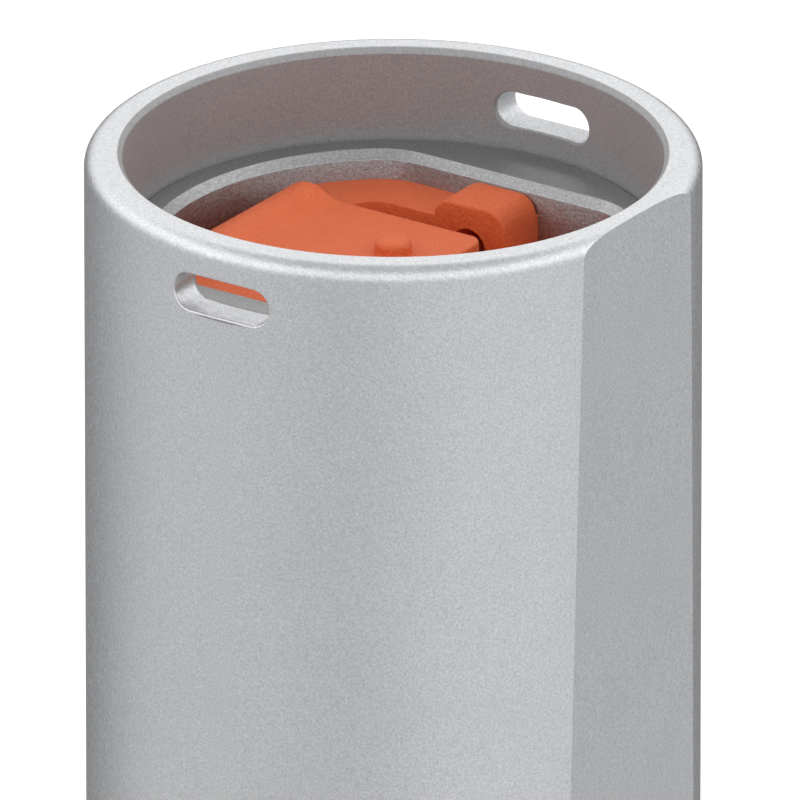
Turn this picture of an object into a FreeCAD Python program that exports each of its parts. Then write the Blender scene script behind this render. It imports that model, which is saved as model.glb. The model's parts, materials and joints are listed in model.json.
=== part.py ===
import FreeCAD
import Part
import math
import os

# Retractable bollard: a round post that slides down into a casing set in the ground.
# Millimetres, +Z up. The origin is the centre of the base plate's underside.
# +X is the way the post's flat faces. The lifting slots and the lock bolts lie along Y.
# The post is modelled raised, with its lock bolts drawn in.

V = FreeCAD.Vector
Y_AXIS = V(0, 1, 0)
Z_AXIS = V(0, 0, 1)
SIDES = (-1, 1)

# Heights of the whole object
GROUND_Z = 850.0
TRAVEL = 600.0
RIM_Z = GROUND_Z + TRAVEL
POST_LENGTH = 780.0
POST_FOOT_Z = RIM_Z - POST_LENGTH

# Post tube, a standard 114.3 x 7.1 tube
POST_RADIUS = 57.15
POST_WALL = 7.1
POST_BORE = POST_RADIUS - POST_WALL
RIM_ROUNDING = 3.0
RIM_CHAMFER = 1.0
FLAT_AT_RIM = 54.39
FLAT_BELOW = 53.15
FLAT_TAPER_LENGTH = 140.0

# Lifting slots below the rim
SLOT_LENGTH = 21.0
SLOT_HEIGHT = 7.2
SLOT_Z = RIM_Z - 10.3

# Head plate, a cup let into the top of the post
HEAD_TOP_Z = RIM_Z - 18.2
HEAD_RADIUS = POST_BORE - 0.15
BEVEL = 1.6
POCKET_RADIUS = 44.0
POCKET_REAR = 37.1
POCKET_FRONT = 35.6
POCKET_CORNER = 12.4
CUP_FLOOR_Z = RIM_Z - 46.0
CUP_BOTTOM_Z = RIM_Z - 52.0

# Lock tray, the insert in the head plate's pocket, on its floor plate
TRAY_FIT = 0.1
TRAY_LEDGE_Z = RIM_Z - 23.7
TRAY_LOW_LEDGE_Z = RIM_Z - 31.0
CAVITY_X = (-24.0, 27.0)
CAVITY_REAR = 26.0
CAVITY_FRONT = 22.5
CAVITY_CORNER = 6.0
CAVITY_FLOOR_Z = RIM_Z - 38.0
LUG_X = (-8.8, 7.3)
LUG_TOP_Z = RIM_Z - 20.0
LUG_CORNER = 4.0
LUG_EDGE = 0.8
LUG_BORE = 3.825
LUG_BORE_X = -0.9
LUG_BORE_Z = RIM_Z - 28.6
SHAFT_HOLE = 5.4
DRAIN_X = 20.0
DRAIN_BORE = 2.5
TRAY_SCREW_X = 15.0
TRAY_SCREW_Y = (-29.0, 31.5)
TRAY_SCREW_RADIUS = 2.0
TRAY_SCREW_CLEAR = 2.2
TRAY_SCREW_HEAD = 3.5
TRAY_SCREW_HEAD_HEIGHT = 3.3
TRAY_SCREW_LENGTH = 19.0

# Lock flap, which covers the key head
HINGE_X = -28.9
HINGE_Z = RIM_Z - 26.8
HUMP_Z = RIM_Z - 24.0
BARREL_RADIUS = 6.0
TROUGH_RADIUS = 9.2
HINGE_PIN_RADIUS = 1.5
HINGE_PIN_HALF = 21.0
HINGE_HOLE_HALF = 21.5
SIDE_RELIEF_X = -33.0
SIDE_RELIEF_HALF = 21.5
PIN_RUNNING = 0.05
FLAP_HALF_WIDTH = 15.2
FLAP_SIDE_GAP = 0.4
FLAP_END_X = 10.5
FLAP_TOP_Z = RIM_Z - 20.3
FLAP_BOTTOM_Z = RIM_Z - 24.2
FLAP_BLEND_RADIUS = 8.2
FLAP_CORNER = 3.5
STUD_RADIUS = 3.5
STUD_TOP_Z = RIM_Z - 17.4
STUD_CORNER = 1.2
STUD_SHANK = 2.0
STUD_RIVET = 0.8

# Casing in the ground
PLATE_SIDE = 240.0
PLATE_THICKNESS = 10.0
PLATE_CORNER = 12.0
ANCHOR_HOLE_OFFSET = 100.0
ANCHOR_HOLE_RADIUS = 9.0
DRAIN_OUTLET_RADIUS = 22.0
GRATE_RADIUS = 28.0
GRATE_THICKNESS = 4.0
GRATE_FIT = 0.2
GRATE_SLOT_PITCH = 8.0
GRATE_SLOT_HALF_WIDTH = 2.0
GRATE_MARGIN = 2.0
CASING_RADIUS = 84.15
CASING_BORE = 79.65
FRAME_SIDE = 260.0
FRAME_THICKNESS = 20.0
FRAME_CORNER = 20.0
FRAME_BORE = 62.0
FRAME_Z = GROUND_Z - FRAME_THICKNESS
FRAME_HOLE_OFFSET = 110.0
FRAME_HOLE_RADIUS = 6.0
FRAME_EDGE = 1.5
COLLAR_RADIUS = 75.0
COLLAR_THICKNESS = 12.0
COLLAR_Z = GROUND_Z - COLLAR_THICKNESS
COLLAR_FIT = 0.3
COLLAR_EDGE = 1.0
COLLAR_POST_GAP = 0.8
COLLAR_SCREW_CIRCLE = 67.5
COLLAR_SCREW_RADIUS = 2.5
COLLAR_SCREW_CLEAR = 2.8
COLLAR_SCREW_HEAD = 4.9
COLLAR_SCREW_HEAD_CLEAR = 5.2
COLLAR_SCREW_HEAD_HEIGHT = 4.2
COLLAR_SCREW_SINK = 5.0
COLLAR_SCREW_TOP_Z = GROUND_Z - 0.8
COLLAR_SCREW_TIP_Z = FRAME_Z + 3.0
GUSSET_REACH = 118.0
GUSSET_TOP_Z = 75.0
GUSSET_TOE_Z = 18.0
GUSSET_TOP_X = CASING_RADIUS + 6.0
GUSSET_HALF_THICKNESS = 4.0
ANCHOR_BAR_Z = 480.0
ANCHOR_BAR_REACH = 120.0
ANCHOR_BAR_LEG = 65.0
ANCHOR_BAR_THICKNESS = 8.0
ANCHOR_BAR_HALF_WIDTH = 15.0
WELD_OVERRUN = 3.0
RING_RADIUS = CASING_BORE - 0.35

# Guides and stops
WIPER_GAP = 0.3
BUSH_GAP = 0.35
FLAT_EXTRA_GAP = 0.01
STOP_BUFFER_GAP = 1.3
BUSH_Z = (780.0, 829.7)
STOP_BUFFER_Z = (768.3, 779.7)
SHOE_UPPER_Z = (738.0, 768.0)
SHOE_LOWER_Z = (672.0, 690.0)
SHOE_RADIUS = 78.8
SHOE_SCREW_RADIUS = 2.5
SHOE_SCREW_CLEAR = 2.6
SHOE_SCREW_SEAT = 70.0
SHOE_SCREW_TOP = 75.0
SHOE_SCREW_HEAD = 4.5
SHOE_SCREW_HEAD_CLEAR = 4.6
SHOE_NOTCH_SIDE_GAP = 2.0
SHOE_NOTCH_END_GAP = 1.5
BOTTOM_BUFFER_RADII = (60.0, 49.5)
BOTTOM_BUFFER_TOP = POST_FOOT_Z - TRAVEL - 0.3

# Gas springs, one each side of the lock shaft
SPRING_X = 37.5
CYLINDER_RADIUS = 10.0
CYLINDER_BORE = 8.5
CYLINDER_Z = (48.0, 700.0)
CYLINDER_END = 6.0
TONGUE_HALF_WIDTH = 6.0
TONGUE_HALF_THICKNESS = 3.0
TONGUE_FOOT = 8.0
CLEVIS_PIN_Z = 28.0
CLEVIS_PIN_RADIUS = 3.0
CLEVIS_PIN_Y = (-10.0, 8.5)
CLEVIS_PIN_HEAD_RADIUS = 4.5
CLEVIS_PIN_HEAD = 2.0
CLEVIS_FOOT_HALF = (8.0, 9.0)
CLEVIS_FOOT_HEIGHT = 6.0
CLEVIS_EAR_HALF_WIDTH = 7.0
CLEVIS_EAR_Y = (3.5, 8.5)
CLEVIS_EAR_TOP = 8.0
ROD_RADIUS = 4.0
ROD_TOP_Z = 1394.0
ROD_TAIL_RADIUS = 2.5
ROD_RUNNING = 0.06
PISTON_RUNNING = 0.1
PISTON_Z = (662.0, 674.0)
GLAND_DEPTH = 12.0
GLAND_CAP = 8.0
ROD_NUT_FLATS = 13.0
ROD_NUT_HEIGHT = 6.0
CROSSHEAD_Z = (1376.0, 1386.0)
CROSSHEAD_VENT_RADIUS = 5.0
CROSSHEAD_VENT_CIRCLE = 32.0

# Lock drive and lock bolts
SHAFT_RADIUS = 5.0
SHAFT_PILOT = 3.0
SHAFT_FLAT = 4.0
SHAFT_RUNNING = 5.05
SHAFT_GUIDE_Z = (1040.0, 1052.0)
SHAFT_GUIDE_HALF_WIDTH = 22.0
BUSH_SLEEVE_RADIUS = 9.0
BUSH_FLANGE_RADIUS = 12.0
BUSH_FLANGE = 3.0
KEY_FLATS = 16.0
KEY_TOP_Z = RIM_Z - 26.2
SHAFT_TOP_Z = CAVITY_FLOOR_Z + 8.0
LATCH_Z = (700.0, 729.0)
LATCH_HALF_WIDTH = 20.0
LATCH_COVER_TOP = 733.0
SHAFT_FOOT_Z = LATCH_Z[0] + 3.0
SHAFT_COLLAR_RADIUS = 10.0
SHAFT_COLLAR_Z = (LATCH_COVER_TOP + 0.3, LATCH_COVER_TOP + 8.0)
KEY_FOOT_Z = CAVITY_FLOOR_Z + 0.5
LATCH_SCREW_Z = LATCH_Z[0] + 5.0
LATCH_SCREW_RADIUS = 2.5
LATCH_SCREW_TIP = 38.0
LATCH_CAP_SCREW_XY = (15.5, 38.0)
LATCH_CAP_SCREW_RADIUS = 2.0
LATCH_CAP_SCREW_HEAD = 3.6
LATCH_CAP_SCREW_HEAD_HEIGHT = 4.0
LATCH_CAP_SCREW_LENGTH = 20.0
BOLT_HALF_WIDTH = 11.0
BOLT_Z = (710.0, 720.0)
BOLT_INNER_Y = 4.5
BOLT_OUTER_Y = 55.5
BOLT_STROKE = 12.0
BOLT_RUNNING = 0.1
BOLT_NOSE = 1.0
BOLT_WINDOW_GAP = 1.0
CAM_RADIUS = 25.0
CAM_Z = (721.0, 727.0)
CAM_START_RADIUS = 8.0
CAM_CLEARANCE = 1.2
CAM_SLOT_RUNNING = 0.1
FOLLOWER_RADIUS = 2.5
FOLLOWER_FOOT_Z = BOLT_Z[0] + 2.0
KEEPER_HALF_WIDTH = 17.0
KEEPER_INNER_Y = 61.0
KEEPER_HALF_HEIGHT = 19.0
KEEPER_MOUTH_HALF_HEIGHT = 5.6
KEEPER_MOUTH_DEPTH = 72.0
KEEPER_MOUTH_SIDE_GAP = 0.6
BOLT_MIDDLE_Z = (BOLT_Z[0] + BOLT_Z[1]) / 2


# Basic solids

def cylinder(radius, low, high, x=0.0, y=0.0):
    return Part.makeCylinder(radius, high - low, V(x, y, low), Z_AXIS)


def ring(outer, inner, low, high, x=0.0, y=0.0):
    return cylinder(outer, low, high, x, y).cut(cylinder(inner, low, high, x, y))


def block(x_low, x_high, y_low, y_high, z_low, z_high):
    corner = V(x_low, y_low, z_low)
    return Part.makeBox(x_high - x_low, y_high - y_low, z_high - z_low, corner)


def bar_along_y(radius, x, z, y_low, y_high):
    return Part.makeCylinder(radius, y_high - y_low, V(x, y_low, z), Y_AXIS)


def radial_bar(radius, angle, z, near, far):
    turn = math.radians(angle)
    direction = V(math.cos(turn), math.sin(turn), 0)
    return Part.makeCylinder(radius, far - near, direction * near + V(0, 0, z), direction)


def hexagon(across_flats, low, high, x=0.0, y=0.0):
    corner_radius = across_flats / math.sqrt(3)
    points = [V(x + corner_radius * math.cos(math.radians(60 * k)),
                y + corner_radius * math.sin(math.radians(60 * k)), low) for k in range(7)]
    return Part.Face(Part.makePolygon(points)).extrude(V(0, 0, high - low))


def d_cylinder(radius, flat, low, high):
    """A cylinder with one flat, which faces +X."""
    return cylinder(radius, low, high).cut(block(flat, radius + 1, -radius, radius, low, high))


def prism_along_y(points, y_low, y_high):
    """A polygon given as (x, z) points, extruded along Y."""
    corners = [V(x, y_low, z) for x, z in points]
    return Part.Face(Part.makePolygon(corners + corners[:1])).extrude(V(0, y_high - y_low, 0))


def turned(shape, angle):
    copy = shape.copy()
    copy.rotate(V(0, 0, 0), Z_AXIS, angle)
    return copy


def quarter_turns(shape, start=0.0):
    return [turned(shape, start + 90 * k) for k in range(4)]


def upright_edges(shape):
    return [edge for edge in shape.Edges
            if isinstance(edge.Curve, Part.Line) and abs(edge.tangentAt(edge.FirstParameter).z) > 0.99]


def save(name, *solids):
    shape = solids[0] if len(solids) == 1 else Part.makeCompound(list(solids))
    shape.exportStep("parts/" + name + ".step")


# Post: tube, head plate and lock tray

def obround_along_y(length, height, z, y_low, y_high):
    end_radius = height / 2
    half = length / 2 - end_radius
    middle = block(-half, half, y_low, y_high, z - end_radius, z + end_radius)
    ends = [bar_along_y(end_radius, side * half, z, y_low, y_high) for side in SIDES]
    return middle.multiFuse(ends).removeSplitter()


def tube_blank():
    """The tube with its rounded outer rim and its chamfered bore."""
    rounding_start = V(POST_RADIUS, 0, RIM_Z - RIM_ROUNDING)
    rounding_end = V(POST_RADIUS - RIM_ROUNDING, 0, RIM_Z)
    diagonal = RIM_ROUNDING * (1 - math.sqrt(0.5))
    rounding_middle = V(POST_RADIUS - diagonal, 0, RIM_Z - diagonal)
    chamfer_top = V(POST_BORE + RIM_CHAMFER, 0, RIM_Z)
    chamfer_foot = V(POST_BORE, 0, RIM_Z - RIM_CHAMFER)
    outer_foot = V(POST_RADIUS, 0, POST_FOOT_Z)
    inner_foot = V(POST_BORE, 0, POST_FOOT_Z)
    edges = [Part.LineSegment(outer_foot, rounding_start).toShape(),
             Part.Arc(rounding_start, rounding_middle, rounding_end).toShape(),
             Part.LineSegment(rounding_end, chamfer_top).toShape(),
             Part.LineSegment(chamfer_top, chamfer_foot).toShape(),
             Part.LineSegment(chamfer_foot, inner_foot).toShape(),
             Part.LineSegment(inner_foot, outer_foot).toShape()]
    return Part.Face(Part.Wire(edges)).revolve(V(0, 0, 0), Z_AXIS, 360)


def flat_cutter():
    """What the flat takes off: its face leans in by half a degree, then runs straight down."""
    taper_end_z = RIM_Z - FLAT_TAPER_LENGTH
    lean = (FLAT_AT_RIM - FLAT_BELOW) / FLAT_TAPER_LENGTH
    outside = POST_RADIUS + 5
    outline = [(FLAT_AT_RIM + lean, RIM_Z + 1), (FLAT_BELOW, taper_end_z),
               (FLAT_BELOW, POST_FOOT_Z - 1), (outside, POST_FOOT_Z - 1), (outside, RIM_Z + 1)]
    return prism_along_y(outline, -POST_RADIUS, POST_RADIUS)


def shoe_screw_angles():
    return [45 + 90 * k for k in range(4)]


def latch_screw_angles():
    return [72.5, 107.5, 252.5, 287.5]


def shoe_middles():
    return [sum(SHOE_UPPER_Z) / 2, sum(SHOE_LOWER_Z) / 2]


def post_tube():
    reach = POST_RADIUS + 1
    cuts = [flat_cutter(), obround_along_y(SLOT_LENGTH, SLOT_HEIGHT, SLOT_Z, -reach, reach)]
    window = BOLT_HALF_WIDTH + BOLT_WINDOW_GAP
    cuts.append(block(-window, window, -reach, reach,
                      BOLT_Z[0] - BOLT_WINDOW_GAP, BOLT_Z[1] + BOLT_WINDOW_GAP))
    for angle in shoe_screw_angles():
        cuts += [radial_bar(SHOE_SCREW_RADIUS, angle, z, POST_BORE - 1, reach) for z in shoe_middles()]
    for angle in latch_screw_angles():
        cuts.append(radial_bar(LATCH_SCREW_RADIUS, angle, LATCH_SCREW_Z, POST_BORE - 1, reach))
    return tube_blank().cut(Part.makeCompound(cuts))


def pocket_wire(inset, z):
    """A circle cut by a rear and a front chord, with blended corners, drawn in by inset."""
    radius = POCKET_RADIUS - inset
    corner = POCKET_CORNER - inset
    corners = []
    for end, chord in ((1, POCKET_REAR - inset), (-1, POCKET_FRONT - inset)):
        centre_y = chord - corner
        centre_x = math.sqrt((radius - corner) ** 2 - centre_y ** 2)
        to_arc = math.atan2(centre_y, centre_x)
        middle = (to_arc + math.pi / 2) / 2
        corners.append((end, [(centre_x, chord),
                              (centre_x + corner * math.cos(middle), centre_y + corner * math.sin(middle)),
                              (radius * math.cos(to_arc), radius * math.sin(to_arc))]))
    turns = {}
    for end, points in corners:
        for side in SIDES:
            turns[side, end] = [V(side * x, end * y, z) for x, y in points]
    edges = [Part.Arc(*points).toShape() for points in turns.values()]
    edges += [Part.LineSegment(turns[-1, end][0], turns[1, end][0]).toShape() for end in SIDES]
    edges += [Part.Arc(turns[side, 1][2], V(side * radius, 0, z), turns[side, -1][2]).toShape()
              for side in SIDES]
    return Part.Wire(Part.__sortEdges__(edges))


def pocket_prism(inset, low, high):
    return Part.Face(pocket_wire(inset, low)).extrude(V(0, 0, high - low))


def tray_screw_places():
    return [(side * TRAY_SCREW_X, y) for side in SIDES for y in TRAY_SCREW_Y]


def floor_holes(low, high):
    """The holes for the lock shaft, the drains and the tray screws."""
    holes = [cylinder(SHAFT_HOLE, low, high)]
    holes += [cylinder(DRAIN_BORE, low, high, side * DRAIN_X) for side in SIDES]
    holes += [cylinder(TRAY_SCREW_CLEAR, low, high, x, y) for x, y in tray_screw_places()]
    return holes


def head_plate():
    cup = cylinder(HEAD_RADIUS, CUP_BOTTOM_Z, HEAD_TOP_Z)
    cup = cup.cut(pocket_prism(0, CUP_FLOOR_Z, HEAD_TOP_Z - BEVEL))
    bevel_wires = [pocket_wire(0, HEAD_TOP_Z - BEVEL), pocket_wire(-BEVEL, HEAD_TOP_Z)]
    cup = cup.cut(Part.makeLoft(bevel_wires, True, True))
    return cup.cut(Part.makeCompound(floor_holes(CUP_BOTTOM_Z, CUP_FLOOR_Z)))


def lug(inner_y, outer_y):
    """A lug on the tray's rear side with its top corners rounded."""
    body = block(*LUG_X, inner_y, outer_y, TRAY_LOW_LEDGE_Z, LUG_TOP_Z)
    top_sides = [edge for edge in body.Edges
                 if edge.BoundBox.ZMin > LUG_TOP_Z - 0.01 and edge.BoundBox.YLength > 1]
    body = body.makeFillet(LUG_CORNER, top_sides)
    rim = [edge for edge in body.Edges
           if edge.BoundBox.YLength < 0.01 and edge.BoundBox.ZMin > TRAY_LOW_LEDGE_Z + 1]
    return body.makeFillet(LUG_EDGE, rim)


def tray_floor():
    plate = pocket_prism(TRAY_FIT, CUP_FLOOR_Z, CAVITY_FLOOR_Z)
    return plate.cut(Part.makeCompound(floor_holes(CUP_FLOOR_Z, CAVITY_FLOOR_Z)))


def lock_tray():
    """A surround with a cavity for the key, a trough for the flap's hinge and two lugs."""
    tray = pocket_prism(TRAY_FIT, CAVITY_FLOOR_Z, TRAY_LEDGE_Z)
    cavity = block(*CAVITY_X, -CAVITY_FRONT, CAVITY_REAR, CAVITY_FLOOR_Z, TRAY_LEDGE_Z)
    cavity = cavity.makeFillet(CAVITY_CORNER, upright_edges(cavity))
    low_side = block(LUG_X[1], POCKET_RADIUS, -POCKET_RADIUS, POCKET_RADIUS,
                     TRAY_LOW_LEDGE_Z, TRAY_LEDGE_Z)
    trough_half = FLAP_HALF_WIDTH + FLAP_SIDE_GAP
    trough = bar_along_y(TROUGH_RADIUS, HINGE_X, HINGE_Z, -trough_half, trough_half)
    trough_side = block(-POCKET_RADIUS, HINGE_X, -trough_half, trough_half,
                        TRAY_LOW_LEDGE_Z, TRAY_LEDGE_Z)
    relief = block(-POCKET_RADIUS, SIDE_RELIEF_X, -SIDE_RELIEF_HALF, SIDE_RELIEF_HALF,
                   TRAY_LOW_LEDGE_Z, TRAY_LEDGE_Z)
    tray = tray.cut(Part.makeCompound([cavity, low_side])).cut(trough)
    tray = tray.cut(trough_side.fuse(relief))
    rear_lug = lug(CAVITY_REAR, POCKET_REAR - TRAY_FIT)
    front_lug = lug(CAVITY_FRONT, POCKET_FRONT - TRAY_FIT).mirror(V(0, 0, 0), Y_AXIS)
    tray = tray.multiFuse([rear_lug, front_lug])
    holes = [bar_along_y(LUG_BORE, LUG_BORE_X, LUG_BORE_Z, -POCKET_RADIUS, POCKET_RADIUS)]
    holes.append(bar_along_y(HINGE_PIN_RADIUS, HINGE_X, HINGE_Z, -HINGE_HOLE_HALF, HINGE_HOLE_HALF))
    screw_tip = CUP_BOTTOM_Z + TRAY_SCREW_LENGTH
    holes += [cylinder(TRAY_SCREW_RADIUS, CAVITY_FLOOR_Z, screw_tip, x, y)
              for x, y in tray_screw_places()]
    return tray.cut(Part.makeCompound(holes))


def socket_screw(head_radius, head_height, shank_radius, length, x, y, top):
    """A cap screw standing on its point, with a hexagon socket in its head."""
    head = cylinder(head_radius, top - head_height, top, x, y)
    shank = cylinder(shank_radius, top - head_height - length, top - head_height, x, y)
    socket = hexagon(head_radius, top - head_height / 2, top, x, y)
    return head.fuse(shank).removeSplitter().cut(socket)


def tray_screws():
    """Screws put in from below, through the head plate and the tray floor into the tray."""
    screws = []
    for x, y in tray_screw_places():
        screw = socket_screw(TRAY_SCREW_HEAD, TRAY_SCREW_HEAD_HEIGHT, TRAY_SCREW_RADIUS,
                             TRAY_SCREW_LENGTH, 0, 0, TRAY_SCREW_HEAD_HEIGHT)
        screw.rotate(V(0, 0, 0), Y_AXIS, 180)
        screw.translate(V(x, y, CUP_BOTTOM_Z))
        screws.append(screw)
    return screws


# Lock flap

def flap_profile():
    """The flap's outline from the side: a flat plate that blends up into a hump over the hinge."""
    def point(x, z):
        return V(x, -FLAP_HALF_WIDTH, z)

    def on_circle(x, z, radius, angle):
        return point(x + radius * math.cos(angle), z + radius * math.sin(angle))

    blend_z = FLAP_TOP_Z + FLAP_BLEND_RADIUS
    rise = blend_z - HUMP_Z
    blend_x = HINGE_X + math.sqrt((BARREL_RADIUS + FLAP_BLEND_RADIUS) ** 2 - rise ** 2)
    lean = math.atan2(rise, blend_x - HINGE_X)
    foot = on_circle(blend_x, blend_z, FLAP_BLEND_RADIUS, -math.pi / 2)
    blend_middle = on_circle(blend_x, blend_z, FLAP_BLEND_RADIUS, (lean - math.pi * 1.5) / 2)
    hump = [on_circle(HINGE_X, HUMP_Z, BARREL_RADIUS, angle)
            for angle in (lean, (lean + math.pi) / 2, math.pi)]
    barrel = [on_circle(HINGE_X, HINGE_Z, BARREL_RADIUS, angle)
              for angle in (math.pi, math.pi * 1.5, math.pi * 2)]
    end_low = point(FLAP_END_X, FLAP_BOTTOM_Z)
    end_high = point(FLAP_END_X, FLAP_TOP_Z)
    inner_corner = point(HINGE_X + BARREL_RADIUS, FLAP_BOTTOM_Z)
    edges = [Part.LineSegment(end_low, end_high).toShape(),
             Part.LineSegment(end_high, foot).toShape(),
             Part.Arc(foot, blend_middle, hump[0]).toShape(),
             Part.Arc(*hump).toShape(),
             Part.LineSegment(hump[2], barrel[0]).toShape(),
             Part.Arc(*barrel).toShape(),
             Part.LineSegment(barrel[2], inner_corner).toShape(),
             Part.LineSegment(inner_corner, end_low).toShape()]
    return Part.Face(Part.Wire(edges))


def lock_flap():
    flap = flap_profile().extrude(V(0, 2 * FLAP_HALF_WIDTH, 0))
    end_corners = [edge for edge in upright_edges(flap) if edge.BoundBox.XMin > FLAP_END_X - 0.01]
    flap = flap.makeFillet(FLAP_CORNER, end_corners)
    running = HINGE_PIN_RADIUS + PIN_RUNNING
    flap = flap.cut(bar_along_y(running, HINGE_X, HINGE_Z, -FLAP_HALF_WIDTH, FLAP_HALF_WIDTH))
    return flap.cut(cylinder(STUD_SHANK, FLAP_BOTTOM_Z, FLAP_TOP_Z))


def flap_stud():
    """A domed knob riveted through the flap."""
    head = cylinder(STUD_RADIUS, FLAP_TOP_Z, STUD_TOP_Z)
    top_edge = [edge for edge in head.Edges if edge.BoundBox.ZMin > STUD_TOP_Z - 0.01]
    head = head.makeFillet(STUD_CORNER, top_edge)
    shank = cylinder(STUD_SHANK, FLAP_BOTTOM_Z, FLAP_TOP_Z)
    rivet = cylinder(STUD_RADIUS, FLAP_BOTTOM_Z - STUD_RIVET, FLAP_BOTTOM_Z)
    return head.multiFuse([shank, rivet]).removeSplitter()


# Guides, shoes and stops

def guide_shoe(z_range):
    """A ring round the post's foot, notched at the keepers."""
    low, high = z_range
    shoe = cylinder(SHOE_RADIUS, low, high).cut(d_cylinder(POST_RADIUS, FLAT_BELOW, low, high))
    notch = KEEPER_HALF_WIDTH + SHOE_NOTCH_SIDE_GAP
    notch_y = KEEPER_INNER_Y - SHOE_NOTCH_END_GAP
    cuts = [block(-notch, notch, notch_y, SHOE_RADIUS, low, high),
            block(-notch, notch, -SHOE_RADIUS, -notch_y, low, high)]
    middle = (low + high) / 2
    for angle in shoe_screw_angles():
        cuts.append(radial_bar(SHOE_SCREW_CLEAR, angle, middle, POST_BORE, SHOE_RADIUS))
        cuts.append(radial_bar(SHOE_SCREW_HEAD_CLEAR, angle, middle, SHOE_SCREW_SEAT, SHOE_RADIUS + 1))
    return shoe.cut(Part.makeCompound(cuts))


def shoe_screws():
    screws = []
    for z in shoe_middles():
        for angle in shoe_screw_angles():
            shank = radial_bar(SHOE_SCREW_RADIUS, angle, z, POST_BORE + 0.5, SHOE_SCREW_SEAT)
            head = radial_bar(SHOE_SCREW_HEAD, angle, z, SHOE_SCREW_SEAT, SHOE_SCREW_TOP)
            screws.append(shank.fuse(head).removeSplitter())
    return screws


def guide_ring(gap, z_range, outer):
    """A ring that fits round the post and its flat."""
    low, high = z_range
    passage = d_cylinder(POST_RADIUS + gap, FLAT_AT_RIM + gap + FLAT_EXTRA_GAP, low, high)
    return cylinder(outer, low, high).cut(passage)


# Casing

def rounded_square(side, corner, low, high):
    half = side / 2
    plate = block(-half, half, -half, half, low, high)
    return plate.makeFillet(corner, upright_edges(plate))


def corner_holes(offset, radius, low, high):
    return [cylinder(radius, low, high, side_x * offset, side_y * offset)
            for side_x in SIDES for side_y in SIDES]


def base_plate():
    plate = rounded_square(PLATE_SIDE, PLATE_CORNER, 0, PLATE_THICKNESS)
    holes = corner_holes(ANCHOR_HOLE_OFFSET, ANCHOR_HOLE_RADIUS, 0, PLATE_THICKNESS)
    holes.append(cylinder(DRAIN_OUTLET_RADIUS, 0, PLATE_THICKNESS))
    holes.append(cylinder(GRATE_RADIUS + GRATE_FIT, PLATE_THICKNESS - GRATE_THICKNESS, PLATE_THICKNESS))
    return plate.cut(Part.makeCompound(holes))


def drain_grate():
    low = PLATE_THICKNESS - GRATE_THICKNESS
    grate = cylinder(GRATE_RADIUS, low, PLATE_THICKNESS)
    slots = []
    for k in range(-2, 3):
        x = GRATE_SLOT_PITCH * k
        half = math.sqrt((DRAIN_OUTLET_RADIUS - GRATE_MARGIN) ** 2 - x ** 2)
        slots.append(block(x - GRATE_SLOT_HALF_WIDTH, x + GRATE_SLOT_HALF_WIDTH, -half, half,
                           low, PLATE_THICKNESS))
    return grate.cut(Part.makeCompound(slots))


def gusset():
    root = CASING_RADIUS - WELD_OVERRUN
    outline = [(root, PLATE_THICKNESS), (GUSSET_REACH, PLATE_THICKNESS), (GUSSET_REACH, GUSSET_TOE_Z),
               (GUSSET_TOP_X, GUSSET_TOP_Z), (root, GUSSET_TOP_Z)]
    web = prism_along_y(outline, -GUSSET_HALF_THICKNESS, GUSSET_HALF_THICKNESS)
    return web.cut(cylinder(CASING_RADIUS, 0, GROUND_Z))


def anchor_bar():
    """A bent flat bar that keys the casing into the concrete."""
    root = CASING_RADIUS - WELD_OVERRUN
    top = ANCHOR_BAR_Z + ANCHOR_BAR_LEG
    inner_x = ANCHOR_BAR_REACH - ANCHOR_BAR_THICKNESS
    inner_z = ANCHOR_BAR_Z + ANCHOR_BAR_THICKNESS
    outline = [(root, ANCHOR_BAR_Z), (ANCHOR_BAR_REACH, ANCHOR_BAR_Z), (ANCHOR_BAR_REACH, top),
               (inner_x, top), (inner_x, inner_z), (root, inner_z)]
    bar = prism_along_y(outline, -ANCHOR_BAR_HALF_WIDTH, ANCHOR_BAR_HALF_WIDTH)
    return bar.cut(cylinder(CASING_RADIUS, 0, GROUND_Z))


def ground_frame():
    frame = rounded_square(FRAME_SIDE, FRAME_CORNER, FRAME_Z, GROUND_Z)
    top_edges = [edge for edge in frame.Edges if edge.BoundBox.ZMin > GROUND_Z - 0.01]
    frame = frame.makeChamfer(FRAME_EDGE, top_edges)
    holes = corner_holes(FRAME_HOLE_OFFSET, FRAME_HOLE_RADIUS, FRAME_Z, GROUND_Z)
    holes.append(cylinder(FRAME_BORE, FRAME_Z, GROUND_Z))
    holes.append(cylinder(COLLAR_RADIUS + COLLAR_FIT, COLLAR_Z, GROUND_Z))
    holes += quarter_turns(cylinder(COLLAR_SCREW_RADIUS, FRAME_Z, COLLAR_Z, COLLAR_SCREW_CIRCLE), 45)
    return frame.cut(Part.makeCompound(holes))


def collar_insert():
    collar = cylinder(COLLAR_RADIUS, COLLAR_Z, GROUND_Z)
    top_edge = [edge for edge in collar.Edges if edge.BoundBox.ZMin > GROUND_Z - 0.01]
    collar = collar.makeChamfer(COLLAR_EDGE, top_edge)
    passage = d_cylinder(POST_RADIUS + COLLAR_POST_GAP, FLAT_AT_RIM + COLLAR_POST_GAP, COLLAR_Z, GROUND_Z)
    clear = cylinder(COLLAR_SCREW_CLEAR, COLLAR_Z, GROUND_Z, COLLAR_SCREW_CIRCLE)
    sink = cylinder(COLLAR_SCREW_HEAD_CLEAR, GROUND_Z - COLLAR_SCREW_SINK, GROUND_Z, COLLAR_SCREW_CIRCLE)
    holes = quarter_turns(clear, 45) + quarter_turns(sink, 45)
    return collar.cut(Part.makeCompound([passage] + holes))


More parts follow.
